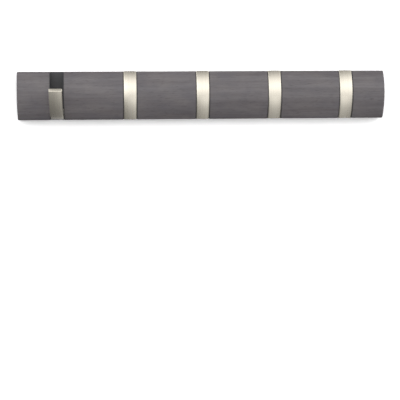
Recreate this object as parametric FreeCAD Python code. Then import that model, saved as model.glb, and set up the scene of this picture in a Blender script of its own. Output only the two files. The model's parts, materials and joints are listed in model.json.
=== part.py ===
import FreeCAD, Part
import math
import os

# Wall rail with five folding hooks, in millimetres.
# X runs along the rail, to the right as seen from the room. Z is up. The wall is the plane y = 0 and the
# rail stands out from it towards -Y, so a depth of d from the wall is y = -d. The origin is the middle of
# the back face.

# Wooden rail
RAIL_LENGTH = 508.0
RAIL_HEIGHT = 66.0
RAIL_DEPTH = 32.0              # wall to the crown of the bowed face
FACE_BOW = 11.3                # how far the crown stands in front of the face's top and bottom edges
RAIL_EDGE_ROUND = 1.0
SLOT_EDGE_ROUND = 0.7

# Hooks
HOOK_COUNT = 5
HOOKS_STORED_OPEN = (1,)       # counted from the left
END_MARGIN = 54.0              # rail's end to the middle of the first hook
HOOK_WIDTH = 17.8
HOOK_THICKNESS = 4.0
HOOK_OPEN_ANGLE = 54.5
FACE_CROWN = 0.35              # how far the sides of a hook's face fall away from its middle
TIP_RISE = 0.5                 # folded hook's tip above the rail's top, for a fingertip
HOOK_EDGE_ROUND = 1.0
TIP_FRONT_ROUND = 1.0
TIP_BACK_ROUND = 0.8
SEAT_ROUND = 5.0               # inside corner where a hung loop settles
HEEL_REACH = 7.0               # pin axis to the two stop faces on the heel
HEEL_FLAT = 4.0                # length of the stop face that meets the bracket when the hook is open
HEEL_SHOULDER = 4.0            # height above the pin of the stop face that meets the bracket when folded
HEEL_CORNER_ROUND = 0.8
PIVOT_INSET = 2.7              # pin axis behind the face's bottom edge

# Pivot pin and disc springs
PIN_DIAMETER = 3.0
PIN_CHAMFER = 0.3
DISC_SPRING_DIAMETER = 8.0
DISC_SPRING_SHEET = 0.3
SPOT_FACE_DEPTH = 0.55         # recess in each side of the heel that holds a disc spring

# Folded sheet bracket
SHEET = 0.6
BEND_RADIUS = 0.4              # inside of the bend
FLANGE_INSET = 0.8             # flange edges behind the bowed face
BRACKET_END_GAP = 0.5          # bracket ends inside the rail's top and bottom

# Bracket screws
SCREW_SHANK_DIAMETER = 2.6
SCREW_HEAD_DIAMETER = 5.6
SCREW_HEAD_HEIGHT = 1.6
SCREW_SPACING = 13.0
SCREW_MIDDLE_HEIGHT = -3.0     # middle of the pair, above the rail's centre line
WOOD_BEHIND_SCREW = 3.0
SCREW_POINT_LENGTH = 2.0
DRIVE_SLOT_LENGTH = 3.0
DRIVE_SLOT_WIDTH = 0.7
DRIVE_SLOT_DEPTH = 0.9

# Keyhole plates on the back
KEYHOLE_ENTRY_DIAMETER = 9.0
KEYHOLE_NECK_WIDTH = 5.0
KEYHOLE_NECK_RISE = 8.0        # entry centre to the seat of the wall screw
PLATE_THICKNESS = 1.5
PLATE_WIDTH = 18.0
PLATE_SEAT = 2.5               # rim of wood that the plate lies on
POCKET_DEPTH = 8.0             # room for the wall screw's head, from the wall
POCKET_END_MARGIN = 1.5        # pocket past the keyhole at its top and bottom
PLATE_SCREW_LAND = 4.5         # plate screw axis past the pocket's end, and the plate's end past that axis
PLATE_SCREW_LENGTH = 12.0
PLATE_SCREW_HEAD_DIAMETER = 5.4
PLATE_SCREW_HEAD_HEIGHT = 1.4

# Clearances
HOOK_SIDE_CLEARANCE = 0.15     # hook to flange
BRACKET_FIT = 0.05             # flange to wood
STOP_GAP = 0.05                # heel to bracket floor at either stop
PIN_RUNNING_FIT = 0.05         # pin in the hook's bore
PIN_FLANGE_FIT = 0.02          # pin in the flange holes
SPRING_GAP = 0.03              # disc spring to what it presses on
SPRING_RIM_CLEARANCE = 0.4     # disc spring inside its spot face
SCREW_FIT = 0.05               # screw shank in its hole
PLATE_FIT = 0.15               # plate in its recess
CUT_PAST = 5.0                 # how far a cutting tool runs past the surface

# Values that follow from the sizes above
HALF_HEIGHT = RAIL_HEIGHT / 2
FACE_RADIUS = (HALF_HEIGHT**2 + FACE_BOW**2) / (2 * FACE_BOW)
FACE_CENTRE_DEPTH = RAIL_DEPTH - FACE_RADIUS
EDGE_DEPTH = RAIL_DEPTH - FACE_BOW
BRACKET_INSIDE = HOOK_WIDTH + 2 * HOOK_SIDE_CLEARANCE
BRACKET_WIDTH = BRACKET_INSIDE + 2 * SHEET
SLOT_WIDTH = BRACKET_WIDTH + 2 * BRACKET_FIT
OPEN_TURN = math.radians(HOOK_OPEN_ANGLE)
PIVOT_DEPTH = EDGE_DEPTH - PIVOT_INSET
PIVOT_HEIGHT = -HALF_HEIGHT + HEEL_REACH * math.sin(OPEN_TURN) + HEEL_FLAT * math.cos(OPEN_TURN)
FLOOR_DEPTH = PIVOT_DEPTH - HEEL_REACH - STOP_GAP
SLOT_FLOOR_DEPTH = FLOOR_DEPTH - SHEET
HOOK_PITCH = (RAIL_LENGTH - 2 * END_MARGIN) / (HOOK_COUNT - 1)
HOOK_PLACES = [(number - (HOOK_COUNT + 1) / 2) * HOOK_PITCH for number in range(1, HOOK_COUNT + 1)]
KEYHOLE_SPACING = (HOOK_COUNT - 2) * HOOK_PITCH  # midway between each end hook and the next
SCREW_HEIGHTS = [SCREW_MIDDLE_HEIGHT + side * SCREW_SPACING / 2 for side in (-1, 1)]
SCREW_LENGTH = FLOOR_DEPTH - WOOD_BEHIND_SCREW
POCKET_BOTTOM = -KEYHOLE_ENTRY_DIAMETER / 2 - POCKET_END_MARGIN
POCKET_TOP = KEYHOLE_NECK_RISE + KEYHOLE_ENTRY_DIAMETER / 2 + POCKET_END_MARGIN
POCKET_WIDTH = PLATE_WIDTH - 2 * PLATE_SEAT
PLATE_SCREW_HEIGHTS = [POCKET_BOTTOM - PLATE_SCREW_LAND, POCKET_TOP + PLATE_SCREW_LAND]
PLATE_BOTTOM = PLATE_SCREW_HEIGHTS[0] - PLATE_SCREW_LAND
PLATE_TOP = PLATE_SCREW_HEIGHTS[1] + PLATE_SCREW_LAND

ALONG = FreeCAD.Vector(1, 0, 0)
OUT = FreeCAD.Vector(0, -1, 0)
UP = FreeCAD.Vector(0, 0, 1)


# Helpers

def at(x, depth, height):
    """A point by its place along the rail, its depth from the wall and its height."""
    return FreeCAD.Vector(x, -depth, height)


def block(x_low, x_high, depth_low, depth_high, low, high):
    """A box between two places along the rail, two depths from the wall and two heights."""
    return Part.makeBox(x_high - x_low, depth_high - depth_low, high - low, at(x_low, depth_high, low))


def rod(radius, start, end):
    """A cylinder between two points."""
    return Part.makeCylinder(radius, (end - start).Length, start, end - start)


def on_bow(radius, height):
    """The depth from the wall, at a height, of an arc that shares the bowed face's centre."""
    return FACE_CENTRE_DEPTH + math.sqrt(radius**2 - height**2)


def bow_arc(radius, start_height, end_height):
    """An arc about the bowed face's centre line, drawn at x = 0 between two heights."""
    middle = (math.asin(start_height / radius) + math.asin(end_height / radius)) / 2
    return Part.Arc(
        at(0, on_bow(radius, start_height), start_height),
        at(0, FACE_CENTRE_DEPTH + radius * math.cos(middle), radius * math.sin(middle)),
        at(0, on_bow(radius, end_height), end_height),
    ).toShape()


def line(start, end):
    """A straight edge between two points."""
    return Part.LineSegment(start, end).toShape()


def extruded(edges, width):
    """A closed outline drawn at x = 0, made a solid of that width with x = 0 in its middle."""
    face = Part.Face(Part.Wire(edges))
    face.translate(ALONG * (-width / 2))
    return face.extrude(ALONG * width)


def edges_at(solid, points):
    """The edges across the whole width that start, on either side, at these points of the outline."""
    found = []
    for edge in solid.Edges:
        end = edge.Vertexes[0].Point
        crosses = edge.BoundBox.XLength > HOOK_WIDTH / 2
        if crosses and any(math.hypot(end.y - p.y, end.z - p.z) < 0.001 for p in points):
            found.append(edge)
    return found


def edges_in_plane(solid, x):
    """The edges that lie in the plane at x."""
    return [e for e in solid.Edges if abs(e.BoundBox.XMin - x) < 0.001 and abs(e.BoundBox.XMax - x) < 0.001]


def upright_slot(width, low, high, depth_low, depth_high):
    """A prism whose face seen from the wall is a slot with round ends, at x = 0 between two heights."""
    radius = width / 2
    straight = block(-radius, radius, depth_low, depth_high, low + radius, high - radius)
    ends = [rod(radius, at(0, depth_low, h), at(0, depth_high, h)) for h in (low + radius, high - radius)]
    return straight.fuse(ends).removeSplitter()


def moved(shape, x):
    """A copy moved along the rail."""
    copy = shape.copy()
    copy.translate(ALONG * x)
    return copy


# Wooden rail

def rail_blank():
    """The planed length of wood: flat back, bowed face, all edges eased."""
    top_back = at(0, 0, HALF_HEIGHT)
    bottom_back = at(0, 0, -HALF_HEIGHT)
    outline = [
        line(bottom_back, top_back),
        line(top_back, at(0, EDGE_DEPTH, HALF_HEIGHT)),
        bow_arc(FACE_RADIUS, HALF_HEIGHT, -HALF_HEIGHT),
        line(at(0, EDGE_DEPTH, -HALF_HEIGHT), bottom_back),
    ]
    blank = extruded(outline, RAIL_LENGTH)
    return blank.makeFillet(RAIL_EDGE_ROUND, blank.Edges)


def slot_cutter(x):
    """What the router takes out for one hook: a flat-floored slot through the face, top and bottom."""
    half = SLOT_WIDTH / 2
    reach = HALF_HEIGHT + CUT_PAST
    return block(x - half, x + half, SLOT_FLOOR_DEPTH, RAIL_DEPTH + CUT_PAST, -reach, reach)


def slot_edges(rail):
    """The edges where the slots' walls meet the outside of the rail."""
    found = []
    for x in HOOK_PLACES:
        for side in (-1, 1):
            for edge in edges_in_plane(rail, x + side * SLOT_WIDTH / 2):
                on_floor = abs(edge.BoundBox.YMin + SLOT_FLOOR_DEPTH) < 0.001
                if not on_floor:
                    found.append(edge)
    return found


def plate_recess():
    """The shallow recess for a keyhole plate and the deeper pocket for the wall screw's head, at x = 0."""
    half = POCKET_WIDTH / 2
    width = PLATE_WIDTH + 2 * PLATE_FIT
    recess = upright_slot(width, PLATE_BOTTOM - PLATE_FIT, PLATE_TOP + PLATE_FIT, -CUT_PAST, PLATE_THICKNESS)
    pocket = block(-half, half, -CUT_PAST, POCKET_DEPTH, POCKET_BOTTOM, POCKET_TOP)
    return recess.fuse(pocket)


def screw_hole(length):
    """A pilot hole for a screw that enters along +Y from the origin."""
    radius = SCREW_SHANK_DIAMETER / 2 + SCREW_FIT
    return rod(radius, FreeCAD.Vector(0, -CUT_PAST, 0), FreeCAD.Vector(0, length, 0))


def rail_body():
    """The finished rail: slots, eased slot edges, screw holes and the back's recesses."""
    rail = rail_blank().cut([slot_cutter(x) for x in HOOK_PLACES])
    rail = rail.makeFillet(SLOT_EDGE_ROUND, slot_edges(rail))
    tools = []
    for x in HOOK_PLACES:
        for height in SCREW_HEIGHTS:
            hole = screw_hole(SCREW_LENGTH)
            hole.translate(at(x, FLOOR_DEPTH, height))
            tools.append(hole)
    for x in (-KEYHOLE_SPACING / 2, KEYHOLE_SPACING / 2):
        tools.append(moved(plate_recess(), x))
        for height in PLATE_SCREW_HEIGHTS:
            hole = screw_hole(PLATE_SCREW_LENGTH)
            hole.rotate(FreeCAD.Vector(0, 0, 0), UP, 180)
            hole.translate(at(x, 0, height))
            tools.append(hole)
    return rail.cut(tools)


# Folding hook

def hook_outline():
    """The folded hook seen from the rail's end, with the corners that are then rounded and their radii."""
    side = FACE_RADIUS - FACE_CROWN
    inside = FACE_RADIUS - HOOK_THICKNESS
    shoulder = PIVOT_HEIGHT + HEEL_SHOULDER
    tip = HALF_HEIGHT + TIP_RISE
    stop = math.pi + OPEN_TURN

    def on_heel(angle):
        return at(
            0, PIVOT_DEPTH + HEEL_REACH * math.cos(angle), PIVOT_HEIGHT + HEEL_REACH * math.sin(angle)
        )

    tip_front = at(0, on_bow(FACE_RADIUS, tip), tip)
    tip_back = at(0, on_bow(inside, tip), tip)
    toe = at(0, on_bow(FACE_RADIUS, -HALF_HEIGHT), -HALF_HEIGHT)
    heel_tip = on_heel(stop) + at(0, HEEL_FLAT * math.sin(OPEN_TURN), -HEEL_FLAT * math.cos(OPEN_TURN))
    heel_back = at(0, PIVOT_DEPTH - HEEL_REACH, shoulder)
    seat = at(0, on_bow(inside, shoulder), shoulder)
    edges = [
        bow_arc(FACE_RADIUS, tip, -HALF_HEIGHT),
        line(toe, heel_tip),
        line(heel_tip, on_heel(stop)),
        Part.Arc(on_heel(stop), on_heel(math.pi + OPEN_TURN / 2), on_heel(math.pi)).toShape(),
        line(on_heel(math.pi), heel_back),
        line(heel_back, seat),
        bow_arc(inside, shoulder, tip),
        line(tip_back, tip_front),
    ]
    rounds = [
        (TIP_FRONT_ROUND, [at(0, on_bow(side, tip), tip)]),
        (TIP_BACK_ROUND, [tip_back]),
        (HEEL_CORNER_ROUND, [at(0, on_bow(side, -HALF_HEIGHT), -HALF_HEIGHT), heel_tip, heel_back]),
        (SEAT_ROUND, [seat]),
    ]
    return edges, rounds


def crowned_disc():
    """A disc about the bowed face's centre line whose rim falls away from its middle to the hook's sides."""
    half = HOOK_WIDTH / 2
    side_radius = FACE_RADIUS - FACE_CROWN
    start = at(-half, FACE_CENTRE_DEPTH, side_radius)
    end = at(half, FACE_CENTRE_DEPTH, side_radius)
    section = [
        Part.Arc(start, at(0, FACE_CENTRE_DEPTH, FACE_RADIUS), end).toShape(),
        line(end, at(half, FACE_CENTRE_DEPTH, 0)),
        line(at(half, FACE_CENTRE_DEPTH, 0), at(-half, FACE_CENTRE_DEPTH, 0)),
        line(at(-half, FACE_CENTRE_DEPTH, 0), start),
    ]
    return Part.Face(Part.Wire(section)).revolve(at(0, FACE_CENTRE_DEPTH, 0), ALONG, 360)


def folded_hook():
    """One hook at x = 0, folded: a curved strip with a heel that holds the pin and carries both stops."""
    edges, rounds = hook_outline()
    hook = extruded(edges, HOOK_WIDTH).common(crowned_disc())
    for radius, corners in rounds:
        hook = hook.makeFillet(radius, edges_at(hook, corners))
    half = HOOK_WIDTH / 2
    hook = hook.makeFillet(HOOK_EDGE_ROUND, edges_in_plane(hook, -half) + edges_in_plane(hook, half))
    bore_radius = PIN_DIAMETER / 2 + PIN_RUNNING_FIT
    spot_radius = DISC_SPRING_DIAMETER / 2 + SPRING_RIM_CLEARANCE
    tools = [rod(bore_radius, pivot_at(-half - CUT_PAST), pivot_at(half + CUT_PAST))]
    for side in (-1, 1):
        spot_floor = pivot_at(side * (half - SPOT_FACE_DEPTH))
        tools.append(rod(spot_radius, spot_floor, pivot_at(side * (half + CUT_PAST))))
    return hook.cut(tools)


def pivot_at(x):
    """The point of the hinge axis at that place along the rail."""
    return at(x, PIVOT_DEPTH, PIVOT_HEIGHT)


def stored_hook(number):
    """A hook at x = 0 as it is stored: folded, or turned out to its open stop."""
    hook = folded_hook()
    if number in HOOKS_STORED_OPEN:
        hook.rotate(pivot_at(0), ALONG, HOOK_OPEN_ANGLE)
    return hook


# Bracket, pin and springs

def bracket_side(radius, depth_low, reach):
    """The outline of a flange: straight along the slot's floor, bowed along the face."""
    bottom = at(0, depth_low, -reach)
    top = at(0, depth_low, reach)
    return [
        line(bottom, top),
        line(top, at(0, on_bow(radius, reach), reach)),
        bow_arc(radius, reach, -reach),
        line(at(0, on_bow(radius, -reach), -reach), bottom),
    ]


def bend_edges(solid, x, depth):
    """The two upright edges at a depth, on either side of x = 0, where the sheet is bent."""
    found = []
    for edge in solid.Edges:
        box = edge.BoundBox
        upright = box.XLength < 0.001 and box.YLength < 0.001
        if upright and abs(abs(box.XMin) - x) < 0.001 and abs(box.YMin + depth) < 0.001:
            found.append(edge)
    return found


def hook_bracket():
    """The folded sheet that lines a slot at x = 0: a floor and two bowed flanges that hold the pin."""
    reach = HALF_HEIGHT - BRACKET_END_GAP
    half_inside = BRACKET_INSIDE / 2
    past = reach + CUT_PAST
    sheet = extruded(bracket_side(FACE_RADIUS - FLANGE_INSET, SLOT_FLOOR_DEPTH, reach), BRACKET_WIDTH)
    sheet = sheet.cut(block(-half_inside, half_inside, FLOOR_DEPTH, RAIL_DEPTH + CUT_PAST, -past, past))
    sheet = sheet.makeFillet(BEND_RADIUS, bend_edges(sheet, half_inside, FLOOR_DEPTH))
    sheet = sheet.makeFillet(BEND_RADIUS + SHEET, bend_edges(sheet, BRACKET_WIDTH / 2, SLOT_FLOOR_DEPTH))
    tools = [rod(PIN_DIAMETER / 2 + PIN_FLANGE_FIT, pivot_at(-BRACKET_WIDTH), pivot_at(BRACKET_WIDTH))]
    for height in SCREW_HEIGHTS:
        radius = SCREW_SHANK_DIAMETER / 2 + SCREW_FIT
        tools.append(rod(radius, at(0, SLOT_FLOOR_DEPTH - SHEET, height), at(0, FLOOR_DEPTH + SHEET, height)))
    return sheet.cut(tools)


def pivot_pin():
    """The pin at x = 0, as long as the bracket is wide, trapped between the slot's walls."""
    pin = rod(PIN_DIAMETER / 2, pivot_at(-BRACKET_WIDTH / 2), pivot_at(BRACKET_WIDTH / 2))
    rims = [e for e in pin.Edges if e.BoundBox.XLength < 0.001]
    return pin.makeChamfer(PIN_CHAMFER, rims)


def disc_springs():
    """A coned washer on each side of the heel at x = 0. Each presses the heel and a flange apart."""
    inner = PIN_DIAMETER / 2 + PIN_RUNNING_FIT
    outer = DISC_SPRING_DIAMETER / 2
    heel_side = HOOK_WIDTH / 2 - SPOT_FACE_DEPTH + SPRING_GAP
    flange_side = BRACKET_INSIDE / 2 - SPRING_GAP
    springs = []
    for side in (-1, 1):
        corners = [
            (heel_side, outer),
            (heel_side + DISC_SPRING_SHEET, outer),
            (flange_side, inner),
            (flange_side - DISC_SPRING_SHEET, inner),
        ]
        section = [pivot_at(side * x) + UP * radius for x, radius in corners]
        face = Part.Face(Part.makePolygon(section + section[:1]))
        springs.append(face.revolve(pivot_at(0), ALONG, 360))
    return springs


# Fasteners and keyhole plates

def drive_recess():
    """A cross recess cut into a screw head whose top is at the origin, facing -Y."""
    half_length = DRIVE_SLOT_LENGTH / 2
    half_width = DRIVE_SLOT_WIDTH / 2
    flat = block(-half_length, half_length, -DRIVE_SLOT_DEPTH, CUT_PAST, -half_width, half_width)
    upright = block(-half_width, half_width, -DRIVE_SLOT_DEPTH, CUT_PAST, -half_length, half_length)
    return flat.fuse(upright)


def screw_shank(length):
    """A shank with a point that runs along +Y from the origin."""
    radius = SCREW_SHANK_DIAMETER / 2
    neck = FreeCAD.Vector(0, length - SCREW_POINT_LENGTH, 0)
    shank = rod(radius, FreeCAD.Vector(0, 0, 0), neck)
    return shank.fuse(Part.makeCone(radius, 0, SCREW_POINT_LENGTH, neck, -OUT))


def bracket_screw():
    """A pan-head screw with the underside of its head at the origin, driven along +Y."""
    head = rod(SCREW_HEAD_DIAMETER / 2, FreeCAD.Vector(0, 0, 0), OUT * SCREW_HEAD_HEIGHT)
    top_rim = [e for e in head.Edges if e.BoundBox.YMax < -SCREW_HEAD_HEIGHT / 2]
    head = head.makeFillet(SCREW_HEAD_HEIGHT / 2, top_rim)
    recess = drive_recess()
    recess.translate(OUT * SCREW_HEAD_HEIGHT)
    return head.fuse(screw_shank(SCREW_LENGTH)).cut(recess).removeSplitter()


def plate_screw():
    """A countersunk screw with its flat top at the origin, driven along -Y into the back of the rail."""
    rim = PLATE_SCREW_HEAD_DIAMETER / 2
    neck = SCREW_SHANK_DIAMETER / 2
    head = Part.makeCone(rim, neck, PLATE_SCREW_HEAD_HEIGHT, FreeCAD.Vector(0, 0, 0), -OUT)
    screw = head.fuse(screw_shank(PLATE_SCREW_LENGTH)).cut(drive_recess()).removeSplitter()
    screw.rotate(FreeCAD.Vector(0, 0, 0), UP, 180)
    return screw


def keyhole_plate():
    """A flat steel plate at x = 0, flush with the back: a keyhole and two countersunk screw holes."""
    neck = KEYHOLE_NECK_WIDTH / 2
    plate = upright_slot(PLATE_WIDTH, PLATE_BOTTOM, PLATE_TOP, 0, PLATE_THICKNESS)
    tools = [
        rod(KEYHOLE_ENTRY_DIAMETER / 2, at(0, -CUT_PAST, 0), at(0, CUT_PAST, 0)),
        rod(neck, at(0, -CUT_PAST, KEYHOLE_NECK_RISE), at(0, CUT_PAST, KEYHOLE_NECK_RISE)),
        block(-neck, neck, -CUT_PAST, CUT_PAST, 0, KEYHOLE_NECK_RISE),
    ]
    shank_hole = SCREW_SHANK_DIAMETER / 2 + SCREW_FIT
    head_hole = PLATE_SCREW_HEAD_DIAMETER / 2 + SCREW_FIT
    for height in PLATE_SCREW_HEIGHTS:
        tools.append(rod(shank_hole, at(0, -CUT_PAST, height), at(0, CUT_PAST, height)))
        tools.append(Part.makeCone(head_hole, shank_hole, PLATE_SCREW_HEAD_HEIGHT, at(0, 0, height), OUT))
    return plate.cut(tools)


# Assembly

def placed_bracket_screws():
    """Two screws in each bracket's floor."""
    screws = []
    for x in HOOK_PLACES:
        for height in SCREW_HEIGHTS:
            screw = bracket_screw()
            screw.translate(at(x, FLOOR_DEPTH, height))
            screws.append(screw)
    return screws


def placed_plate_screws():
    """Two screws in each keyhole plate."""
    screws = []
    for x in (-KEYHOLE_SPACING / 2, KEYHOLE_SPACING / 2):
        for height in PLATE_SCREW_HEIGHTS:
            screw = plate_screw()
            screw.translate(at(x, 0, height))
            screws.append(screw)
    return screws


def assembly():
    """Every piece in its place: node name to the list of its solids."""
    nodes = {"rail_body": [rail_body()]}
    for number, x in enumerate(HOOK_PLACES, start=1):
        nodes[f"hook_{number}"] = [moved(stored_hook(number), x)]
        nodes[f"hook_bracket_{number}"] = [moved(hook_bracket(), x)]
        nodes[f"pivot_pin_{number}"] = [moved(pivot_pin(), x)]
        nodes[f"disc_springs_{number}"] = [moved(spring, x) for spring in disc_springs()]
    nodes["bracket_screws"] = placed_bracket_screws()
    nodes["keyhole_plate_left"] = [moved(keyhole_plate(), -KEYHOLE_SPACING / 2)]
    nodes["keyhole_plate_right"] = [moved(keyhole_plate(), KEYHOLE_SPACING / 2)]
    nodes["plate_screws"] = placed_plate_screws()
    return nodes


def main():
    os.makedirs("parts", exist_ok=True)
    for name, shapes in assembly().items():
        solids = [solid for shape in shapes for solid in shape.Solids]
        whole = solids[0] if len(solids) == 1 else Part.makeCompound(solids)
        whole.exportStep(f"parts/{name}.step")
        print(f"{name}: {len(solids)} solid(s), {whole.Volume:.1f} mm3, valid {whole.isValid()}")


main()
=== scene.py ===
# %% [markdown]
# # A wall rail with folding hooks
# The object is a length of grey-stained wood with a bowed face. Five satin-nickel hooks lie flush in slots
# across it, and each swings out on a pin near its foot. The CAD frame gives every piece its real size and
# place. This lesson models again, as fine meshes, the pieces that the eye rests on. It gives every piece
# its finish, and then sets up the light and the camera.

# %% Load the frame
import json
import math

import bmesh
import bpy
from mathutils import Matrix, Vector


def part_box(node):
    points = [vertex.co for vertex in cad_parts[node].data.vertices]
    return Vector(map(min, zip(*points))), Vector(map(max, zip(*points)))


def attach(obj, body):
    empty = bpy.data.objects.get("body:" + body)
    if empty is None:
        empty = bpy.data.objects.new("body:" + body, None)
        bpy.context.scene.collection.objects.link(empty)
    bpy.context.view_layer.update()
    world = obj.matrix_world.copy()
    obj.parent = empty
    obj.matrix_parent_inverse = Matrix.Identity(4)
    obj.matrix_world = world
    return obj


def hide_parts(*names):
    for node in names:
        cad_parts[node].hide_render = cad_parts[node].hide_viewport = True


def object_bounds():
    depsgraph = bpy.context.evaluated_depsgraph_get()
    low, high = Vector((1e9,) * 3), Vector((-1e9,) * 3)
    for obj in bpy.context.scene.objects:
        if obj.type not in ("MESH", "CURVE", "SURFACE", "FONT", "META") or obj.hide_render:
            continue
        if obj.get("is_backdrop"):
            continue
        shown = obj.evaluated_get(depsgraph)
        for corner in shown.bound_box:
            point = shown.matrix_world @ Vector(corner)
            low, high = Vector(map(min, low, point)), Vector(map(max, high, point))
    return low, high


MM = 0.001
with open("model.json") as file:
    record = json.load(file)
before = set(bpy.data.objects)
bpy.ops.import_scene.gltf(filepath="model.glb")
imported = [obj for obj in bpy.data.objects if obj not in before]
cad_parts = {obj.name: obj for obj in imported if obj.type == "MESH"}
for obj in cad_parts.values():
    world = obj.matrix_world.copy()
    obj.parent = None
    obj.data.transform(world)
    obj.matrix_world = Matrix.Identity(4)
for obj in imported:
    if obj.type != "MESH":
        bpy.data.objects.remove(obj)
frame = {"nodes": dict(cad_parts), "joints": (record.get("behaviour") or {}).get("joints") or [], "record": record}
cad_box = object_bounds()
print("CAD box in mm:", [[round(value / MM, 2) for value in corner] for corner in cad_box])

# %% [markdown]
# ## Camera
# The picture was taken with a long lens from about a metre and a half away, level with the rail's top edge,
# a little left of its middle and tilted down. A camera could be aimed at a target, but six numbers for its
# place and turns, with the focal length, can be matched to the picture exactly. The three turns are applied
# in order, as a photographer would pan, tilt and level a tripod head.

# %% Camera
CAMERA_PLACE = Vector((-122.5, -1515.7, 29.3)) * MM
CAMERA_PAN = 0.0791            # radians to the right
CAMERA_TILT = 0.1165           # radians down
CAMERA_ROLL = -0.004
CAMERA_LENS_MM = 96.99
CAMERA_SENSOR_MM = 36.0

camera_data = bpy.data.cameras.new("camera")
camera_data.lens = CAMERA_LENS_MM
camera_data.sensor_width = CAMERA_SENSOR_MM
camera = bpy.data.objects.new("camera", camera_data)
level = Matrix.Rotation(math.pi / 2, 4, "X")
pan = Matrix.Rotation(-CAMERA_PAN, 4, "Z")
tilt = Matrix.Rotation(-CAMERA_TILT, 4, "X")
roll = Matrix.Rotation(CAMERA_ROLL, 4, "Z")
camera.matrix_world = Matrix.Translation(CAMERA_PLACE) @ pan @ level @ tilt @ roll
bpy.context.scene.collection.objects.link(camera)
bpy.context.scene.camera = camera
print("camera looks along", [round(v, 4) for v in camera.matrix_world.to_3x3() @ Vector((0, 0, -1))])

# %% [markdown]
# ## Helpers for finishes
# A node material is a small graph, and every node needs the same three things: to be added, to be set, and
# to be fed. One function does all three, so that each finish below reads as a list of what it is made of.
# Colours are picked in sRGB, as on a screen, but shaders count light, so a second function turns a hex
# colour to linear. A third turns a real size in millimetres to the scale of a pattern.

# %% Helpers for finishes
def linear(hex_colour):
    """An sRGB hex colour as the linear RGBA that shader sockets take."""
    channels = [int(hex_colour[i:i + 2], 16) / 255 for i in (1, 3, 5)]
    return [c / 12.92 if c <= 0.04045 else ((c + 0.055) / 1.055) ** 2.4 for c in channels] + [1.0]


def add(tree, kind, settings=None, sockets=None, stops=None):
    """Adds a node, sets its properties, feeds its sockets with values or links, and fills a ramp's stops."""
    node = tree.nodes.new(kind)
    for name, value in (settings or {}).items():
        setattr(node, name, value)
    inputs = {socket.identifier: socket for socket in node.inputs}
    for name, value in (sockets or {}).items():
        if isinstance(value, bpy.types.NodeSocket):
            tree.links.new(value, inputs[name])
        else:
            inputs[name].default_value = value
    for number, (place, colour) in enumerate(stops or []):
        elements = node.color_ramp.elements
        inner = 0 < number < len(stops) - 1
        element = elements.new(place) if inner else elements[-1 if number else 0]
        element.position = place
        element.color = colour
    return node


def new_material(name):
    """An empty node material and its tree."""
    material = bpy.data.materials.new(name)
    material.use_nodes = True
    material.node_tree.nodes.clear()
    return material, material.node_tree


def cells(along_mm, across_mm=None):
    """The scale of a pattern with cells that long on X and that wide on Y and Z, in real millimetres."""
    across_mm = across_mm or along_mm
    return 1 / (along_mm * MM), 1 / (across_mm * MM), 1 / (across_mm * MM)


finishes = {}
print("helpers for finishes are ready")

# %% [markdown]
# ## Stained wood: layers of grain
# The rail is a close-grained hardwood under a grey stain and a satin lacquer. Wood could be drawn with a
# picture, but a solid pattern is better here: it runs through the block, so slots, edges and ends all
# agree. Four layers of noise do it, each stretched along X as the fibres are: the broad figure, the fibres,
# the pores, and the uneven take-up of the stain.

# %% Stained wood: layers of grain
# cell length along the grain, cell width across it, in mm, and octaves of detail
# real fibres are about 0.3 mm wide and pores 0.1 mm: both are drawn coarser, so that they show in the render
WOOD_LAYERS = {
    "figure": (150.0, 7.0, 3.0),
    "fibres": (46.0, 1.9, 3.0),
    "pores": (8.0, 0.5, 1.0),
    "stain": (34.0, 16.0, 2.0),
}

wood, tree = new_material("grey_stained_hardwood")
place = add(tree, "ShaderNodeTexCoord").outputs["Object"]
layer = {}
for name, (along, across, octaves) in WOOD_LAYERS.items():
    stretched = add(tree, "ShaderNodeMapping", sockets={"Vector": place, "Scale": cells(along, across)})
    noise = {"Vector": stretched.outputs[0], "Scale": 1.0, "Detail": octaves, "Distortion": 0.35}
    layer[name] = add(tree, "ShaderNodeTexNoise", sockets=noise).outputs["Fac"]
print("layers of wood:", ", ".join(layer))

# %% [markdown]
# ## Stained wood: colour
# Each layer is turned to a shade by a ramp, and the shades are multiplied, as coats of stain darken what is
# under them. To the eye the figure gives soft broad streaks, the fibres fine ones and the pores short dark
# dashes. The stain leaves cooler and warmer patches.

# %% Stained wood: colour
shades = {
    "figure": [(0.30, "#645f61"), (0.52, "#6b6769"), (0.72, "#726e70")],
    "fibres": [(0.30, "#ececec"), (0.70, "#ffffff")],
    "pores": [(0.28, "#cfccca"), (0.40, "#ffffff")],
    "stain": [(0.32, "#e9e9ed"), (0.68, "#fffdfb")],
}
colour = None
for name, steps in shades.items():
    stops = [(spot, linear(shade)) for spot, shade in steps]
    shade = add(tree, "ShaderNodeValToRGB", sockets={"Fac": layer[name]}, stops=stops).outputs["Color"]
    if colour is None:
        colour = shade
    else:
        both = {"Vector": colour, "Vector_001": shade}
        colour = add(tree, "ShaderNodeVectorMath", {"operation": "MULTIPLY"}, both).outputs[0]
print("the wood's colour mixes", len(shades), "shades")

# %% [markdown]
# ## Stained wood: end grain
# End grain drinks more stain and is darker, and it shows the growth rings round the heart of the tree. A
# second material could be laid on the ends, but then the rounded edges would show a seam. Instead the
# rail's mesh will mark its end faces with an attribute, and this finish reads it to mix the rings in.

# %% Stained wood: end grain
END_GRAIN = "end_grain"
RING_WIDTH = 2.6               # mm
RING_STRETCH = 12              # rings change this much more slowly along the grain
RING_SCALE = math.pi / 10      # at this scale the wave texture draws one ring in each unit
HEART = Vector((0, 30, -70)) * MM

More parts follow.
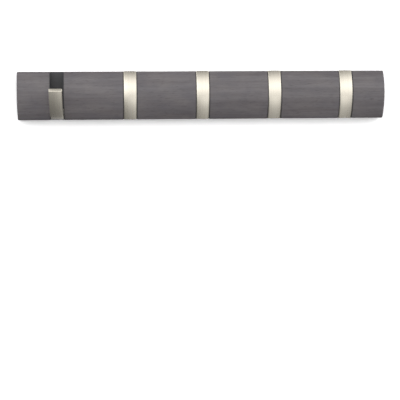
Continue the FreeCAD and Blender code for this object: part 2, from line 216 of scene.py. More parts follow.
apart = {"Vector": place, "Vector_001": HEART}
from_heart = add(tree, "ShaderNodeVectorMath", {"operation": "SUBTRACT"}, apart).outputs[0]
in_rings = {"Vector": from_heart, "Scale": cells(RING_STRETCH * RING_WIDTH, RING_WIDTH)}
rings = add(
    tree, "ShaderNodeTexWave", {"wave_type": "RINGS", "rings_direction": "X", "wave_profile": "SAW"},
    {
        "Vector": add(tree, "ShaderNodeMapping", sockets=in_rings).outputs[0], "Scale": RING_SCALE,
        "Distortion": 1.6, "Detail": 2.0, "Detail Scale": 0.3,
    },
)
ring_shades = [(0.0, linear("#b2aeac")), (1.0, linear("#8d8987"))]
ring_shade = add(tree, "ShaderNodeValToRGB", sockets={"Fac": rings.outputs["Fac"]}, stops=ring_shades)
on_end = add(tree, "ShaderNodeAttribute", {"attribute_name": END_GRAIN}).outputs["Fac"]
end_tint = add(
    tree, "ShaderNodeMix", {"data_type": "RGBA"},
    {"Factor_Float": on_end, "A_Color": linear("#ffffff"), "B_Color": ring_shade.outputs["Color"]},
)
both = {"Vector": colour, "Vector_001": end_tint.outputs["Result"]}
colour = add(tree, "ShaderNodeVectorMath", {"operation": "MULTIPLY"}, both).outputs[0]
print("growth rings every", RING_WIDTH, "mm")

# %% [markdown]
# ## Stained wood: surface
# The lacquer is thin, so the grain still shows in its gloss: it shines a little more on the fibres and
# sinks into the pores. Those depths are far too small to model, so a bump carries them.

# %% Stained wood: surface
PORE_DEPTH = 0.04 * MM

rough = add(tree, "ShaderNodeMapRange", sockets={"Value": layer["fibres"], "To Min": 0.52, "To Max": 0.40})
relief = add(
    tree, "ShaderNodeMath", {"operation": "MULTIPLY_ADD"},
    {"Value": layer["fibres"], "Value_001": 0.5, "Value_002": layer["pores"]},
)
bump = add(
    tree, "ShaderNodeBump",
    sockets={"Strength": 0.5, "Distance": PORE_DEPTH, "Height": relief.outputs[0]},
)
surface = add(
    tree, "ShaderNodeBsdfPrincipled",
    sockets={"Base Color": colour, "Roughness": rough.outputs[0], "IOR": 1.5, "Normal": bump.outputs[0]},
)
add(tree, "ShaderNodeOutputMaterial", sockets={"Surface": surface.outputs[0]})
finishes["stained_wood"] = wood
print(wood.name, "has", len(tree.nodes), "nodes")

# %% [markdown]
# ## Satin nickel: patterns
# The hooks are cast zinc, plated with nickel. They were brushed along their length and then given a satin
# finish, so the plate glows softly, has no sharp mirror image, and is a little warmer than steel. The brush
# marks could follow an unwrapped strip, but the strip lies in Y and Z wherever the hook stands: a noise
# that is fine on X and long on Y and Z follows it with no unwrapping. Two more noises are hand-rubbed
# patches and the grit of the satin.

# %% Satin nickel: patterns
BRUSH_WIDTH = 0.8              # mm; real brush marks are near 0.05 mm, drawn coarser so that they show
BRUSH_LENGTH = 45.0            # mm
CLOUD_SIZE = 14.0              # mm; hand-rubbed patches
GRIT_SIZE = 0.3                # mm

nickel, tree = new_material("satin_nickel_plate")
place = add(tree, "ShaderNodeTexCoord").outputs["Object"]
along_strip = {"Vector": place, "Scale": cells(BRUSH_WIDTH, BRUSH_LENGTH)}
stretched = add(tree, "ShaderNodeMapping", sockets=along_strip).outputs[0]
brush = add(tree, "ShaderNodeTexNoise", sockets={"Vector": stretched, "Scale": 1.0, "Detail": 3.0})
clouds = {"Vector": place, "Scale": cells(CLOUD_SIZE)[0], "Detail": 2.0}
cloud = add(tree, "ShaderNodeTexNoise", sockets=clouds)
grits = {"Vector": place, "Scale": cells(GRIT_SIZE)[0], "Detail": 2.0}
grit = add(tree, "ShaderNodeTexNoise", sockets=grits)
print("brush marks are", BRUSH_WIDTH, "mm wide and", BRUSH_LENGTH, "mm long")

# %% [markdown]
# ## Satin nickel: surface
# To the eye a satin plate is soft and even, with only a hint of direction. Strong marks could be drawn, but
# they would look like scratches. So the brush shifts tone and roughness a little, the rubbed patches shift
# the roughness less, and the grit is a faint bump. A metal keeps the default IOR.

# %% Satin nickel: surface
GRIT_DEPTH = 0.002 * MM
CLOUD_ROUGHNESS = (0.23, 0.27)
BRUSH_ROUGHNESS = 0.05         # added where the brush noise is highest

tones = [(0.3, linear("#d8d1c3")), (0.7, linear("#e0dacc"))]
tone = add(tree, "ShaderNodeValToRGB", sockets={"Fac": brush.outputs["Fac"]}, stops=tones)
soft = add(
    tree, "ShaderNodeMapRange",
    sockets={"Value": cloud.outputs["Fac"], "To Min": CLOUD_ROUGHNESS[0], "To Max": CLOUD_ROUGHNESS[1]},
)
rough = add(
    tree, "ShaderNodeMath", {"operation": "MULTIPLY_ADD"},
    {"Value": brush.outputs["Fac"], "Value_001": BRUSH_ROUGHNESS, "Value_002": soft.outputs[0]},
)
bump = add(
    tree, "ShaderNodeBump",
    sockets={"Strength": 0.12, "Distance": GRIT_DEPTH, "Height": grit.outputs["Fac"]},
)
surface = add(
    tree, "ShaderNodeBsdfPrincipled",
    sockets={
        "Base Color": tone.outputs["Color"], "Metallic": 1.0, "Roughness": rough.outputs[0],
        "Normal": bump.outputs[0],
    },
)
add(tree, "ShaderNodeOutputMaterial", sockets={"Surface": surface.outputs[0]})
finishes["satin_nickel"] = nickel
print(nickel.name, "has", len(tree.nodes), "nodes")

# %% [markdown]
# ## Powder coat, drawn steel and zinc plate
# Three more finishes belong to the hardware. The brackets in the slots are sheet steel under a charcoal
# powder coat, which dries with a faint orange peel. The pins and disc springs are bare drawn steel with
# fine lines round them. Screws and keyhole plates are zinc plated: pale, slightly blue, and cloudy. Each
# could have a graph of its own, but only their numbers differ, so a table holds those and a loop builds all
# three.

# %% Hardware finishes
# pattern cells are in mm on X and on Y and Z, and relief is in mm
HARDWARE = {
    "coated_steel": {
        "name": "charcoal_powder_coat", "tones": ("#3c3c3e", "#454547"), "metallic": 0.0,
        "roughness": (0.48, 0.62), "cell": (0.9, 0.9), "relief": 0.025,
    },
    "bright_steel": {
        "name": "drawn_spring_steel", "tones": ("#a9a9aa", "#c4c4c3"), "metallic": 1.0,
        "roughness": (0.22, 0.34), "cell": (0.25, 6.0), "relief": 0.002,
    },
    "zinc_steel": {
        "name": "bright_zinc_plate", "tones": ("#b3b8bd", "#cfd2d4"), "metallic": 1.0,
        "roughness": (0.26, 0.44), "cell": (2.6, 2.6), "relief": 0.004,
    },
}

for slot, finish in HARDWARE.items():
    material, tree = new_material(finish["name"])
    place = add(tree, "ShaderNodeTexCoord").outputs["Object"]
    stretched = add(tree, "ShaderNodeMapping", sockets={"Vector": place, "Scale": cells(*finish["cell"])})
    noise = {"Vector": stretched.outputs[0], "Scale": 1.0, "Detail": 3.0}
    grain = add(tree, "ShaderNodeTexNoise", sockets=noise).outputs["Fac"]
    dark, light = [linear(tone) for tone in finish["tones"]]
    tone = add(tree, "ShaderNodeValToRGB", sockets={"Fac": grain}, stops=[(0.3, dark), (0.7, light)])
    least, most = finish["roughness"]
    rough = add(tree, "ShaderNodeMapRange", sockets={"Value": grain, "To Min": least, "To Max": most})
    height = {"Strength": 0.4, "Distance": finish["relief"] * MM, "Height": grain}
    bump = add(tree, "ShaderNodeBump", sockets=height)
    surface = add(
        tree, "ShaderNodeBsdfPrincipled",
        sockets={
            "Base Color": tone.outputs["Color"], "Metallic": finish["metallic"],
            "Roughness": rough.outputs[0], "Normal": bump.outputs[0],
        },
    )
    add(tree, "ShaderNodeOutputMaterial", sockets={"Surface": surface.outputs[0]})
    finishes[slot] = material
    print(material.name, "has", len(tree.nodes), "nodes")

# %% [markdown]
# ## Sizes taken from the frame
# Nothing is fitted by eye. The rail's box, a bracket's box and the hinges come from the CAD nodes, so each
# new mesh lands where its solid is. Only what a box can't tell, such as the bow of the face, is written
# down here.

# %% Sizes taken from the frame
FACE_BOW = 11.3 * MM           # how far the face's middle stands in front of its top and bottom edges
BRACKET_FIT = 0.05 * MM        # bracket to wood, on either side

rail_low, rail_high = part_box("rail_body")
bracket_low, bracket_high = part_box("hook_bracket_3")
hinges = {joint["child"]: Vector(joint["pos_m"]) for joint in frame["joints"]}
half_height = rail_high.z
face_radius = (half_height**2 + FACE_BOW**2) / (2 * FACE_BOW)
bow_centre = Vector((0, face_radius + rail_low.y, 0))
edge_depth = -rail_low.y - FACE_BOW
slot_width = bracket_high.x - bracket_low.x + 2 * BRACKET_FIT
slot_floor_depth = -bracket_high.y
print("face radius", round(face_radius / MM, 3), "mm, slots", round(slot_width / MM, 2), "mm wide")

# %% [markdown]
# ## Helpers that draw
# Lists of points could be worked out by hand, but outlines are easier to read when they are drawn as one
# would draw them in edit mode: a vertex is extruded to the next corner, or spun along an arc. The ends are
# then joined and filled, and the face is extruded.

# %% Helpers that draw
def draw(mesh, vertex, *corners):
    """Carries an outline on from a vertex through more corners, and returns the last vertex."""
    for corner in corners:
        vertex = bmesh.ops.extrude_vert_indiv(mesh, verts=[vertex])["verts"][0]
        vertex.co = corner
    return vertex


def swing(mesh, vertex, centre, angle, steps, axis=(1, 0, 0)):
    """Carries an outline on from a vertex along an arc about an axis, and returns the last vertex."""
    arc = bmesh.ops.spin(mesh, geom=[vertex], cent=centre, axis=axis, angle=angle, steps=steps)
    return next(item for item in arc["geom_last"] if isinstance(item, bmesh.types.BMVert))


def close(mesh, last, first):
    """Joins an outline's ends and fills it. Returns the face."""
    bmesh.ops.contextual_create(mesh, geom=[last, first])
    outline = [edge for edge in mesh.edges if edge.is_wire]
    return bmesh.ops.edgeloop_fill(mesh, edges=outline)["faces"][0]


def grow(mesh, face, step):
    """Extrudes a face by a vector and returns the moved face."""
    grown = bmesh.ops.extrude_face_region(mesh, geom=[face])["geom"]
    face = next(item for item in grown if isinstance(item, bmesh.types.BMFace))
    bmesh.ops.translate(mesh, verts=face.verts, vec=step)
    return face


print("helpers that draw are ready")

# %% [markdown]
# ## The rail: outline and length
# A moulder gives such a rail its section: a flat back, and a face that bows out by a centimetre. A cube
# with a curved face could be subdivided until it is smooth, but here the section is drawn once, at its true
# sizes: the bow is one vertex spun about the face's centre line, and the back is extruded corner by corner.
# Then the section is extruded along X, with a stop at each wall of each slot. Extruding leaves the section
# behind at every stop, and those inner faces are deleted.

# %% The rail: outline and length
BOW_STEPS = 48

bow_angle = math.asin(half_height / face_radius)
rail = bmesh.new()
left = rail_low.x
face_bottom = rail.verts.new((left, -edge_depth, -half_height))
face_top = swing(rail, face_bottom, bow_centre + Vector((left, 0, 0)), -2 * bow_angle, BOW_STEPS)
floor_top = draw(rail, face_top, (left, -slot_floor_depth, half_height))
back_bottom = draw(rail, floor_top, (left, 0, half_height), (left, 0, -half_height))
floor_bottom = draw(rail, back_bottom, (left, -slot_floor_depth, -half_height))
sections = [close(rail, floor_bottom, face_bottom)]
slot_walls = sorted(hinge.x + side * slot_width / 2 for hinge in hinges.values() for side in (-1, 1))
for start, end in zip([left, *slot_walls], [*slot_walls, rail_high.x]):
    sections.append(grow(rail, sections[-1], (end - start, 0, 0)))
bmesh.ops.delete(rail, geom=sections[1:-1], context="FACES_ONLY")
print("the blank has", len(rail.faces), "faces")

# %% [markdown]
# ## The rail: slots
# A router cuts a flat-floored slot for each hook, right through the face from top to bottom. A Boolean
# could do it, but the section already has an edge at every wall and floor, so plain edit-mode steps give a
# cleaner mesh. Between each pair of walls the faces in front of the floor are deleted. Each floor bridges
# the two edges that are left at its ends, and the walls close the holes that remain.

# %% The rail: slots
HAIR = 0.001 * MM              # places nearer than this are the same


def at_slot(place):
    """Whether a point lies between the walls of a slot, or on one."""
    return any(abs(place.x - hinge.x) < slot_width / 2 + HAIR for hinge in hinges.values())


cut_away = []
for face in rail.faces:
    middle = face.calc_center_median()
    if at_slot(middle) and middle.y < -slot_floor_depth - HAIR:
        cut_away.append(face)
bmesh.ops.delete(rail, geom=cut_away, context="FACES")
for hinge in hinges.values():
    ends = []
    for edge in rail.edges:
        middle = (edge.verts[0].co + edge.verts[1].co) / 2
        if edge.is_boundary and abs(middle.x - hinge.x) < HAIR:
            ends.append(edge)
    bmesh.ops.bridge_loops(rail, edges=ends)
walls = bmesh.ops.holes_fill(rail, edges=[e for e in rail.edges if e.is_boundary], sides=0)["faces"]
bmesh.ops.recalc_face_normals(rail, faces=rail.faces)
print("slots have", len(walls), "walls")

# %% [markdown]
# ## Helpers that round edges
# No real edge is perfectly sharp, and a small round is what catches the light. Edges could be bevelled one
# radius at a time, but where two such bevels meet, the corner folds over itself. A Bevel modifier makes all
# the rounds in one pass when each edge has a weight, so one helper runs a modifier over a bmesh and gives
# the result back, and another sets the weights.

# %% Helpers that round edges
ROUND_STEPS = 4
LEAST_FOLD = math.radians(30)  # the steps of a drawn arc fold by less than this


def as_object(mesh, name):
    """Moves a bmesh into a new object."""
    data = bpy.data.meshes.new(name)
    mesh.to_mesh(data)
    mesh.free()
    piece = bpy.data.objects.new(name, data)
    bpy.context.scene.collection.objects.link(piece)
    return piece


def run_modifier(mesh, kind, **settings):
    """Runs one modifier over a bmesh and returns the result as a new bmesh."""
    work = as_object(mesh, "work")
    modifier = work.modifiers.new(kind, kind)
    for name, value in settings.items():
        setattr(modifier, name, value)
    result = bmesh.new()
    result.from_object(work, bpy.context.evaluated_depsgraph_get())
    bpy.data.objects.remove(work)
    return result


def folds(mesh):
    """The edges where a mesh folds outwards too sharply to be part of a drawn arc."""
    return [edge for edge in mesh.edges if edge.calc_face_angle_signed() > LEAST_FOLD]


def round_edges(mesh, radii):
    """Rounds each edge to its own radius, and returns the result as a new bmesh."""
    mesh.edges.index_update()
    setbacks = {e.index: radius * math.tan(e.calc_face_angle() / 2) for e, radius in radii.items()}
    widest = max(setbacks.values())
    weight = mesh.edges.layers.float.new("bevel_weight_edge")
    for edge in mesh.edges:
        edge[weight] = setbacks.get(edge.index, 0.0) / widest
    return run_modifier(
        mesh, "BEVEL", affect="EDGES", limit_method="WEIGHT", width=widest, segments=ROUND_STEPS,
        profile=0.5, material=-1, use_clamp_overlap=False,
    )


print("helpers that round edges are ready")

# %% [markdown]
# ## The rail: rounded edges
# On a lacquered rail every outward edge is eased with sandpaper, because lacquer won't hold on a sharp one.
# A bevel shader could fake that, but it would leave the mesh sharp. So every outward fold of the mesh is
# rounded, those at the slots a little less than the rail's long edges and ends.

# %% The rail: rounded edges
EDGE_ROUND = 1.0 * MM
SLOT_ROUND = 0.7 * MM

radii = {}
for edge in folds(rail):
    middle = (edge.verts[0].co + edge.verts[1].co) / 2
    in_slot = at_slot(middle) and middle.y < -slot_floor_depth + HAIR
    radii[edge] = SLOT_ROUND if in_slot else EDGE_ROUND
rail = round_edges(rail, radii)
print("rounded", len(radii), "edges of the rail")

# %% [markdown]
# ## A helper that carves
# Holes in the flat back of the rail and bores in the hooks have no edges of the mesh to work from. They
# could be cut with a knife, vertex by vertex, but here a Boolean is the honest tool. One helper takes a
# cutter out of a mesh and clears the cutter away.

# %% A helper that carves
PAST = 5.0 * MM                # how far a cutter stands out of the surface


def carve(mesh, cutter):
    """Cuts one bmesh out of another, and returns the result as a new bmesh."""
    bmesh.ops.recalc_face_normals(cutter, faces=cutter.faces)
    tool = as_object(cutter, "cutter")
    result = run_modifier(mesh, "BOOLEAN", object=tool, operation="DIFFERENCE", solver="EXACT")
    bpy.data.objects.remove(tool)
    return result


print("cutters stand out by", round(PAST / MM, 1), "mm")

# %% [markdown]
# ## The rail: recesses for the keyhole plates
# Two keyhole plates lie flush in the back, each in a shallow recess with round ends, as a router bit leaves
# it. A cutter could be a box and two cylinders, but cutters that overlap confuse a Boolean. Each is drawn
# instead as one outline at the plate's own box, of two lines and two half turns, and then extruded.

# %% The rail: recesses for the keyhole plates
PLATE_FIT = 0.15 * MM
HOLE_STEPS = 24

plates = [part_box(node) for node in ("keyhole_plate_left", "keyhole_plate_right")]
plate_middles = [(low.x + high.x) / 2 for low, high in plates]
all_but_last_step = math.pi * (1 - 1 / HOLE_STEPS)
recesses = bmesh.new()
for middle, (low, high) in zip(plate_middles, plates):
    radius = (high.x - low.x) / 2 + PLATE_FIT
    across = Vector((radius, 0, 0))
    upper = Vector((middle, PAST, high.z + PLATE_FIT - radius))
    lower = Vector((middle, PAST, low.z - PLATE_FIT + radius))
    start = recesses.verts.new(lower + across)
    right = draw(recesses, start, upper + across)
    top = swing(recesses, right, upper, -math.pi, HOLE_STEPS, axis=(0, 1, 0))
    bottom = draw(recesses, top, lower - across)
    last = swing(recesses, bottom, lower, -all_but_last_step, HOLE_STEPS - 1, axis=(0, 1, 0))
    grow(recesses, close(recesses, last, start), (0, low.y - PAST, 0))
rail = carve(rail, recesses)
print("the rail has", len(rail.faces), "faces after its recesses")

# %% [markdown]
# ## The rail: pockets behind the plates
# Under each recess a deeper pocket takes the head of a wall screw, and leaves a rim of wood for the plate
# to lie on. It could be drawn as the recess was, but nothing of its ends shows: a stretched cube is enough.

# %% The rail: pockets behind the plates
PLATE_SEAT = 2.5 * MM          # rim of wood under the plate
POCKET_DEPTH = 8.0 * MM
POCKET_LAND = 9.0 * MM         # plate's end to the pocket

pockets = bmesh.new()
for middle, (low, high) in zip(plate_middles, plates):
    pocket_width = high.x - low.x - 2 * PLATE_SEAT
    size = Matrix.Diagonal((pocket_width, POCKET_DEPTH + PAST, high.z - low.z - 2 * POCKET_LAND, 1))
    place = Matrix.Translation((middle, (PAST - POCKET_DEPTH) / 2, (low.z + high.z) / 2))
    bmesh.ops.create_cube(pockets, size=1.0, matrix=place @ size)
rail = carve(rail, pockets)
print("the rail has", len(rail.faces), "faces after its pockets")

# %% [markdown]
# ## The rail: pilot holes
# Every screw has its pilot hole in the wood. The screws hide these holes, so they could be left out, but
# then wood and steel would fill the same space. A cylinder for each lies at the height of a head in the
# screws' own box, and one more cut takes all of them out.

# %% The rail: pilot holes
PILOT_DIAMETER = 2.7 * MM
HEAD_DIAMETERS = {"bracket_screws": 5.6 * MM, "plate_screws": 5.4 * MM}

pilots = bmesh.new()
screw_columns = {"bracket_screws": [hinge.x for hinge in hinges.values()], "plate_screws": plate_middles}
for node, columns in screw_columns.items():
    low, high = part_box(node)
    inset = HEAD_DIAMETERS[node] / 2
    lying = Matrix.Rotation(math.pi / 2, 4, "X")
    for x in columns:
        for z in (low.z + inset, high.z - inset):
            bmesh.ops.create_cone(
                pilots, cap_ends=True, segments=HOLE_STEPS, radius1=PILOT_DIAMETER / 2,
                radius2=PILOT_DIAMETER / 2, depth=high.y - low.y,
                matrix=Matrix.Translation((x, (low.y + high.y) / 2, z)) @ lying,
            )
rail = carve(rail, pilots)
print("the rail has", len(rail.faces), "faces after its pilot holes")

# %% [markdown]
# ## Make the rail
# A finished piece needs smooth faces with weighted normals, so that rounded edges shade softly and flat
# faces stay flat. It also needs its finish and a body that it moves with, and the solids it stands for are
# hidden. Hooks need the same, so a helper does it. Before that, each face that looks along the grain
# is marked as end grain for the stain.

# %% Make the rail
SHARP_FOLD = math.radians(35)
END_GRAIN_STARTS = 0.4         # how far a face's normal leans along the grain before it shows any rings
END_GRAIN_FULL = 0.9           # and from where it shows nothing else


def make_piece(mesh, name, slot, body, *nodes):
    """Makes a finished piece of a bmesh: its shading, finish and body, and the CAD nodes it stands for."""
    piece = as_object(mesh, name)
    piece.data.shade_smooth()
    piece.data.set_sharp_from_angle(angle=SHARP_FOLD)
    piece.data.materials.clear()
    piece.data.materials.append(finishes[slot])
    piece.modifiers.new("flat faces stay flat", "WEIGHTED_NORMAL").keep_sharp = True
    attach(piece, body)
    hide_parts(*nodes)
    return piece


end_mark = rail.faces.layers.float.new(END_GRAIN)
for face in rail.faces:
    share = (abs(face.normal.x) - END_GRAIN_STARTS) / (END_GRAIN_FULL - END_GRAIN_STARTS)
    face[end_mark] = min(1.0, max(0.0, share))
bmesh.ops.recalc_face_normals(rail, faces=rail.faces)
rail_piece = make_piece(rail, "wooden_rail", "stained_wood", "rail", "rail_body")
print(rail_piece.name, "has", len(rail_piece.data.polygons), "faces")

# %% [markdown]
# ## The hook: its corners and centres
# Each hook is one casting: a strip as bowed as the rail's face, and a heel at its foot that turns on the
# pin. Two straight stretches of the heel are its stops: they meet the bracket when the hook is folded and
# when it is open. The hook is drawn as it lies folded, from a few real sizes and the places of the hinge
# and the bow. These give the corners of its outline and the centres of its arcs.

# %% The hook: its corners and centres
HOOK_THICKNESS = 4.0 * MM
HEEL_REACH = 7.0 * MM          # pin axis to either stop
HEEL_FLAT = 4.0 * MM           # length of the stop that meets the bracket when the hook is open
HEEL_SHOULDER = 4.0 * MM       # heel's top above the pin axis
SEAT_ROUND = 5.0 * MM          # inside corner where a hung loop settles

hook_low, hook_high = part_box("hook_3")
side = Vector((hook_low.x, 0, 0))
centre = bow_centre + side
pivot = hinges["hook_3"] + side
swings = {joint["child"]: [math.radians(angle) for angle in joint["range_deg"]] for joint in frame["joints"]}
open_turn = swings["hook_3"][1]
tip = hook_high.z
inside = face_radius - HOOK_THICKNESS
shoulder = pivot.z + HEEL_SHOULDER
seat_rise = math.asin((shoulder + SEAT_ROUND) / (inside - SEAT_ROUND))
seat_depth = (inside - SEAT_ROUND) * math.cos(seat_rise)
seat = Vector((side.x, bow_centre.y - seat_depth, shoulder + SEAT_ROUND))
stop_start = pivot + HEEL_REACH * Vector((0, math.cos(open_turn), -math.sin(open_turn)))
heel_end = stop_start - HEEL_FLAT * Vector((0, math.sin(open_turn), math.cos(open_turn)))
face_turn = math.asin(tip / face_radius) + bow_angle
print("the hook opens by", round(math.degrees(open_turn), 1), "degrees")

# %% [markdown]
# ## The hook: outline
# Seen from the rail's end the hook is a closed outline. It runs down the face, under the heel, round the
# pin, over the shoulder and up the inside of the strip, and every stretch is a line or an arc.

# %% The hook: outline
FACE_STEPS = 56
INSIDE_STEPS = 20              # few enough that each step is longer than the round at the tip
ARC_STEPS = 12

hook = bmesh.new()
tip_front = hook.verts.new(centre + Vector((0, -math.sqrt(face_radius**2 - tip**2), tip)))
toe = swing(hook, tip_front, centre, face_turn, FACE_STEPS)
heel_tip = draw(hook, toe, heel_end)
heel_arc = draw(hook, heel_tip, stop_start)
back = swing(hook, heel_arc, pivot, open_turn, ARC_STEPS)
heel_back = draw(hook, back, (side.x, back.co.y, shoulder))
seat_start = draw(hook, heel_back, (side.x, seat.y, shoulder))
seat_end = swing(hook, seat_start, seat, -math.pi / 2 - seat_rise, ARC_STEPS)
tip_back = swing(hook, seat_end, centre, seat_rise - math.asin(tip / inside), INSIDE_STEPS)
sections = [close(hook, tip_back, tip_front)]
print("the hook's outline has", len(hook.verts), "corners")

# %% [markdown]
# ## The hook: width and crown
# The outline is extruded across the hook in even steps, so that there are vertices to shape the face with:
# its sides fall away a third of a millimetre from the middle, which is what makes each band glow along its
# middle. Then its sides and its corners are rounded.

# %% The hook: width and crown
FACE_CROWN = 0.35 * MM
SIDE_ROUND = 1.0 * MM          # along both sides, and at the tip's front
CORNER_ROUND = 0.8 * MM        # across the hook: the tip's back, the toe and the heel
WIDTH_STEPS = 10

width = hook_high.x - hook_low.x
for number in range(WIDTH_STEPS):
    sections.append(grow(hook, sections[-1], (width / WIDTH_STEPS, 0, 0)))
bmesh.ops.delete(hook, geom=sections[1:-1], context="FACES_ONLY")
bmesh.ops.recalc_face_normals(hook, faces=hook.faces)
radii = {}
for edge in folds(hook):
    first, second = [vertex.co for vertex in edge.verts]
    along_side = abs(first.x - second.x) < HAIR
    at_tip_front = min(first.z, second.z) > tip - HAIR and first.y < seat.y
    radii[edge] = SIDE_ROUND if along_side or at_tip_front else CORNER_ROUND
for vertex in hook.verts:
    out = vertex.co - bow_centre
    out.x = 0
    if out.length > face_radius - HOOK_THICKNESS / 2:
        vertex.co -= out.normalized() * FACE_CROWN * (2 * vertex.co.x / width)**2
hook = round_edges(hook, radii)
print("the hook has", len(hook.faces), "faces and", len(radii), "rounded edges")

# %% [markdown]
# ## The hook: bore
# A drill makes the hole for the pin, and a wider cutter sinks a shallow recess for a disc spring at each
# end of it. One profile, spun all the way round the pin's axis, is a cutter for all three, so a single
# Boolean bores the hook.

# %% The hook: bore
BORE_DIAMETER = 3.1 * MM
SPOT_DIAMETER = 8.8 * MM
SPOT_DEPTH = 0.55 * MM
BORE_STEPS = 48

drill = bmesh.new()
spot_floor = width / 2 - SPOT_DEPTH
profile = [
    (-width / 2 - PAST, SPOT_DIAMETER), (-spot_floor, SPOT_DIAMETER), (-spot_floor, BORE_DIAMETER),
    (spot_floor, BORE_DIAMETER), (spot_floor, SPOT_DIAMETER), (width / 2 + PAST, SPOT_DIAMETER),
]
points = [Vector((x, pivot.y, pivot.z + diameter / 2)) for x, diameter in profile]
draw(drill, drill.verts.new(points[0]), *points[1:])
bmesh.ops.spin(
    drill, geom=drill.verts[:] + drill.edges[:], cent=pivot, axis=(1, 0, 0), angle=2 * math.pi,
    steps=BORE_STEPS, use_merge=True,
)
bmesh.ops.holes_fill(drill, edges=[e for e in drill.edges if e.is_boundary], sides=0)
hook = carve(hook, drill)
print("the bored hook has", len(hook.faces), "faces")

# %% [markdown]
# ## Five hooks
# All five hooks come from one mould, so one mesh serves them all. Five objects could share it, but a
# finished piece keeps its place in its own mesh, so each copy is carried along the rail to its own hinge.
# The joints tell how a hook is stored: the least angle of its range is where it lies folded, so a copy is
# turned back by that angle. The first hook is stored open, as in the picture.

# %% Five hooks
for name, hinge in hinges.items():
    turned = hook.copy()
    folded = swings[name][0]
    to_pivot = Matrix.Translation((hinge.x, hinge.y, hinge.z))
    from_pivot = Matrix.Translation((0, -hinge.y, -hinge.z))
    turn = to_pivot @ Matrix.Rotation(-folded, 4, "X") @ from_pivot
    bmesh.ops.transform(turned, matrix=turn, verts=turned.verts)
    piece = make_piece(turned, name.replace("hook", "folding_hook"), "satin_nickel", name, name)
    print(piece.name, "is turned out by", round(math.degrees(abs(folded)), 1), "degrees")
hook.free()

# %% [markdown]
# ## The hardware keeps its solids
# Brackets, pins, springs, plates and screws could be modelled again too, but they have their right form in
# the frame, so they stay and only get their finish. The record says which finish each one has.

# %% The hardware keeps its solids
modelled = ["rail_body", *hinges]
kept = [row for row in frame["record"]["subparts"] if row["node"] not in modelled]
for row in kept:
    node = frame["nodes"][row["node"]]
    node.data.materials.clear()
    node.data.materials.append(finishes[row["material_slot"]])
print("finished", len(kept), "CAD nodes")

# %% [markdown]
# ## Stage
# The rail hangs on a white wall that is lit to pure white. A plain white background could stand for it, but
# then the soft shadow under the rail would be missing. The wall's colour is set above 1, so that this
# shadow fades out fast. Only the camera sees the wall, and only from the front, so that it neither lights
# the rail nor hides its back. A pale floor lies well below.

# %% Stage
WALL_GAP = 0.2 * MM
WALL_WHITE = 1.52
FLOOR_HEIGHT = -2.2            # metres
REACH = 30.0                   # metres, so that no edge of the floor comes into view


def stage_plane(name, place, turn, surface_material):
    """A large square that isn't part of the object and is seen by the camera alone."""
    mesh = bmesh.new()
    matrix = Matrix.Translation(place) @ turn
    bmesh.ops.create_grid(mesh, x_segments=1, y_segments=1, size=REACH, matrix=matrix)
    plane = as_object(mesh, name)
    plane.data.materials.append(surface_material)
    plane.visible_shadow = False
    plane.visible_diffuse = False
    plane.visible_glossy = False
    plane.visible_transmission = False
    plane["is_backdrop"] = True
    return plane


wall_paint, tree = new_material("white_wall")
white = add(tree, "ShaderNodeBsdfDiffuse", sockets={"Color": [WALL_WHITE] * 3 + [1.0]})
clear = add(tree, "ShaderNodeBsdfTransparent")
behind = add(tree, "ShaderNodeNewGeometry").outputs["Backfacing"]
mixed = add(
    tree, "ShaderNodeMixShader",
    sockets={"Fac": behind, "Shader": white.outputs[0], "Shader_001": clear.outputs[0]},
)
add(tree, "ShaderNodeOutputMaterial", sockets={"Surface": mixed.outputs[0]})
upright = Matrix.Rotation(math.pi / 2, 4, "X")
wall = stage_plane("wall", Vector((0, WALL_GAP, FLOOR_HEIGHT + REACH)), upright, wall_paint)

floor_paint, tree = new_material("pale_floor")
pale = add(tree, "ShaderNodeBsdfDiffuse", sockets={"Color": linear("#e8e8e6")})
add(tree, "ShaderNodeOutputMaterial", sockets={"Surface": pale.outputs[0]})
floor = stage_plane("floor", Vector((0, 0, FLOOR_HEIGHT)), Matrix.Identity(4), floor_paint)
print("stage:", wall.name, floor.name)

# %% [markdown]
# ## Light: dome
# The bands of nickel show what lit the picture: one broad soft light in front and above, a dim ceiling, and
# a floor that gives back less. Lamps could do it, but metal shows a hard edge of each lamp. A dome with a
# smooth gradient from the floor to the ceiling has none. Less light comes from behind the wall.

# %% Light: dome
# height of a direction, from straight down to straight up, and the light that comes from there
DOME = [
    (-1.0, 0.22), (-0.66, 0.29), (-0.29, 0.50), (-0.09, 0.83), (0.12, 1.33), (0.42, 1.80), (0.70, 1.40),
    (0.86, 0.84), (1.0, 0.32),
]
DOME_PEAK = 1.80
DOME_BEHIND = 0.6              # share of the light that comes from behind the wall's plane
DOME_TURN = 0.6                # how far to the front and the back the light fades from one to the other

world = bpy.data.worlds.new("studio")
world.use_nodes = True
tree = world.node_tree
tree.nodes.clear()
way = add(tree, "ShaderNodeTexCoord").outputs["Generated"]
axes = add(tree, "ShaderNodeSeparateXYZ", sockets={"Vector": way}).outputs
height = add(tree, "ShaderNodeMapRange", sockets={"Value": axes["Z"], "From Min": -1.0})
stops = [((z + 1) / 2, [value / DOME_PEAK] * 3 + [1.0]) for z, value in DOME]
dome = add(tree, "ShaderNodeValToRGB", sockets={"Fac": height.outputs[0]}, stops=stops)
strength = add(
    tree, "ShaderNodeMapRange",
    sockets={
        "Value": axes["Y"], "From Min": -DOME_TURN, "From Max": DOME_TURN,
        "To Min": DOME_PEAK, "To Max": DOME_PEAK * DOME_BEHIND,
    },
).outputs[0]
print("the dome has", len(DOME), "stops")

# %% [markdown]
# ## Light: patches
# A room is never an even gradient. Soft patches are laid over it: the brighter floor straight ahead, the
# dark shape of the camera in the middle, a window to its left, and a pale room on either side, which draws
# a thin line along each hook's edge. Each patch scales the light by a share that fades in across X and with
# height.

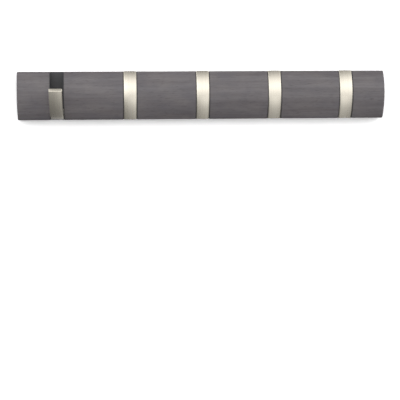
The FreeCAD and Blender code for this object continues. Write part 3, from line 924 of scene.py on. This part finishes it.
# %% Light: patches
# middle and half width on X, height where the patch starts and where it is full, share of light that it adds
PATCHES = {
    "floor ahead": (0.16, 0.28, 0.05, -0.35, 1.60),
    "camera": (0.02, 0.10, -0.20, 0.00, -0.22),
    "window on the left": (-0.17, 0.15, -0.25, 0.10, 0.28),
    "room on the left": (-0.95, 0.40, -0.80, 0.10, 0.45),
    "room on the right": (0.95, 0.40, -0.80, 0.10, 0.45),
}

for middle, half_width, starts, full, share in PATCHES.values():
    apart = {"Value": axes["X"], "Value_001": middle}
    aside = add(tree, "ShaderNodeMath", {"operation": "SUBTRACT"}, apart).outputs[0]
    away = add(tree, "ShaderNodeMath", {"operation": "ABSOLUTE"}, {"Value": aside}).outputs[0]
    across = add(
        tree, "ShaderNodeMapRange", {"interpolation_type": "SMOOTHSTEP"},
        {"Value": away, "From Max": half_width, "To Min": share, "To Max": 0.0},
    )
    rising = add(
        tree, "ShaderNodeMapRange", {"interpolation_type": "SMOOTHSTEP"},
        {"Value": axes["Z"], "From Min": starts, "From Max": full},
    )
    both = {"Value": across.outputs[0], "Value_001": rising.outputs[0]}
    patch = add(tree, "ShaderNodeMath", {"operation": "MULTIPLY"}, both).outputs[0]
    scaled = {"Value": strength, "Value_001": patch, "Value_002": strength}
    strength = add(tree, "ShaderNodeMath", {"operation": "MULTIPLY_ADD"}, scaled).outputs[0]
print("patches of light:", ", ".join(PATCHES))

# %% [markdown]
# ## Light: what the camera sees
# The dome could be seen behind the object too, but its gradient would distract, so the camera sees plain
# white in its place. The Standard view shows the colours as they were picked, with no film look over them.

# %% Light: what the camera sees
lit = add(tree, "ShaderNodeBackground", sockets={"Color": dome.outputs["Color"], "Strength": strength})
seen = add(tree, "ShaderNodeBackground", sockets={"Color": linear("#f2f2f2"), "Strength": 1.0})
ray = add(tree, "ShaderNodeLightPath").outputs["Is Camera Ray"]
sky = add(
    tree, "ShaderNodeMixShader",
    sockets={"Fac": ray, "Shader": lit.outputs[0], "Shader_001": seen.outputs[0]},
)
add(tree, "ShaderNodeOutputWorld", sockets={"Surface": sky.outputs[0]})
bpy.context.scene.world = world
bpy.context.scene.view_settings.view_transform = "Standard"
print("the world has", len(tree.nodes), "nodes")

# %% [markdown]
# The box of the dressed model is measured too. Both boxes are gathered in one table, and the new box is
# printed beside the CAD box printed at the start.

visual_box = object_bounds()
size = {"cad_box": [list(c) for c in cad_box], "visual_box": [list(c) for c in visual_box]}
print("visual box in mm:", [[round(value / MM, 2) for value in corner] for corner in visual_box])
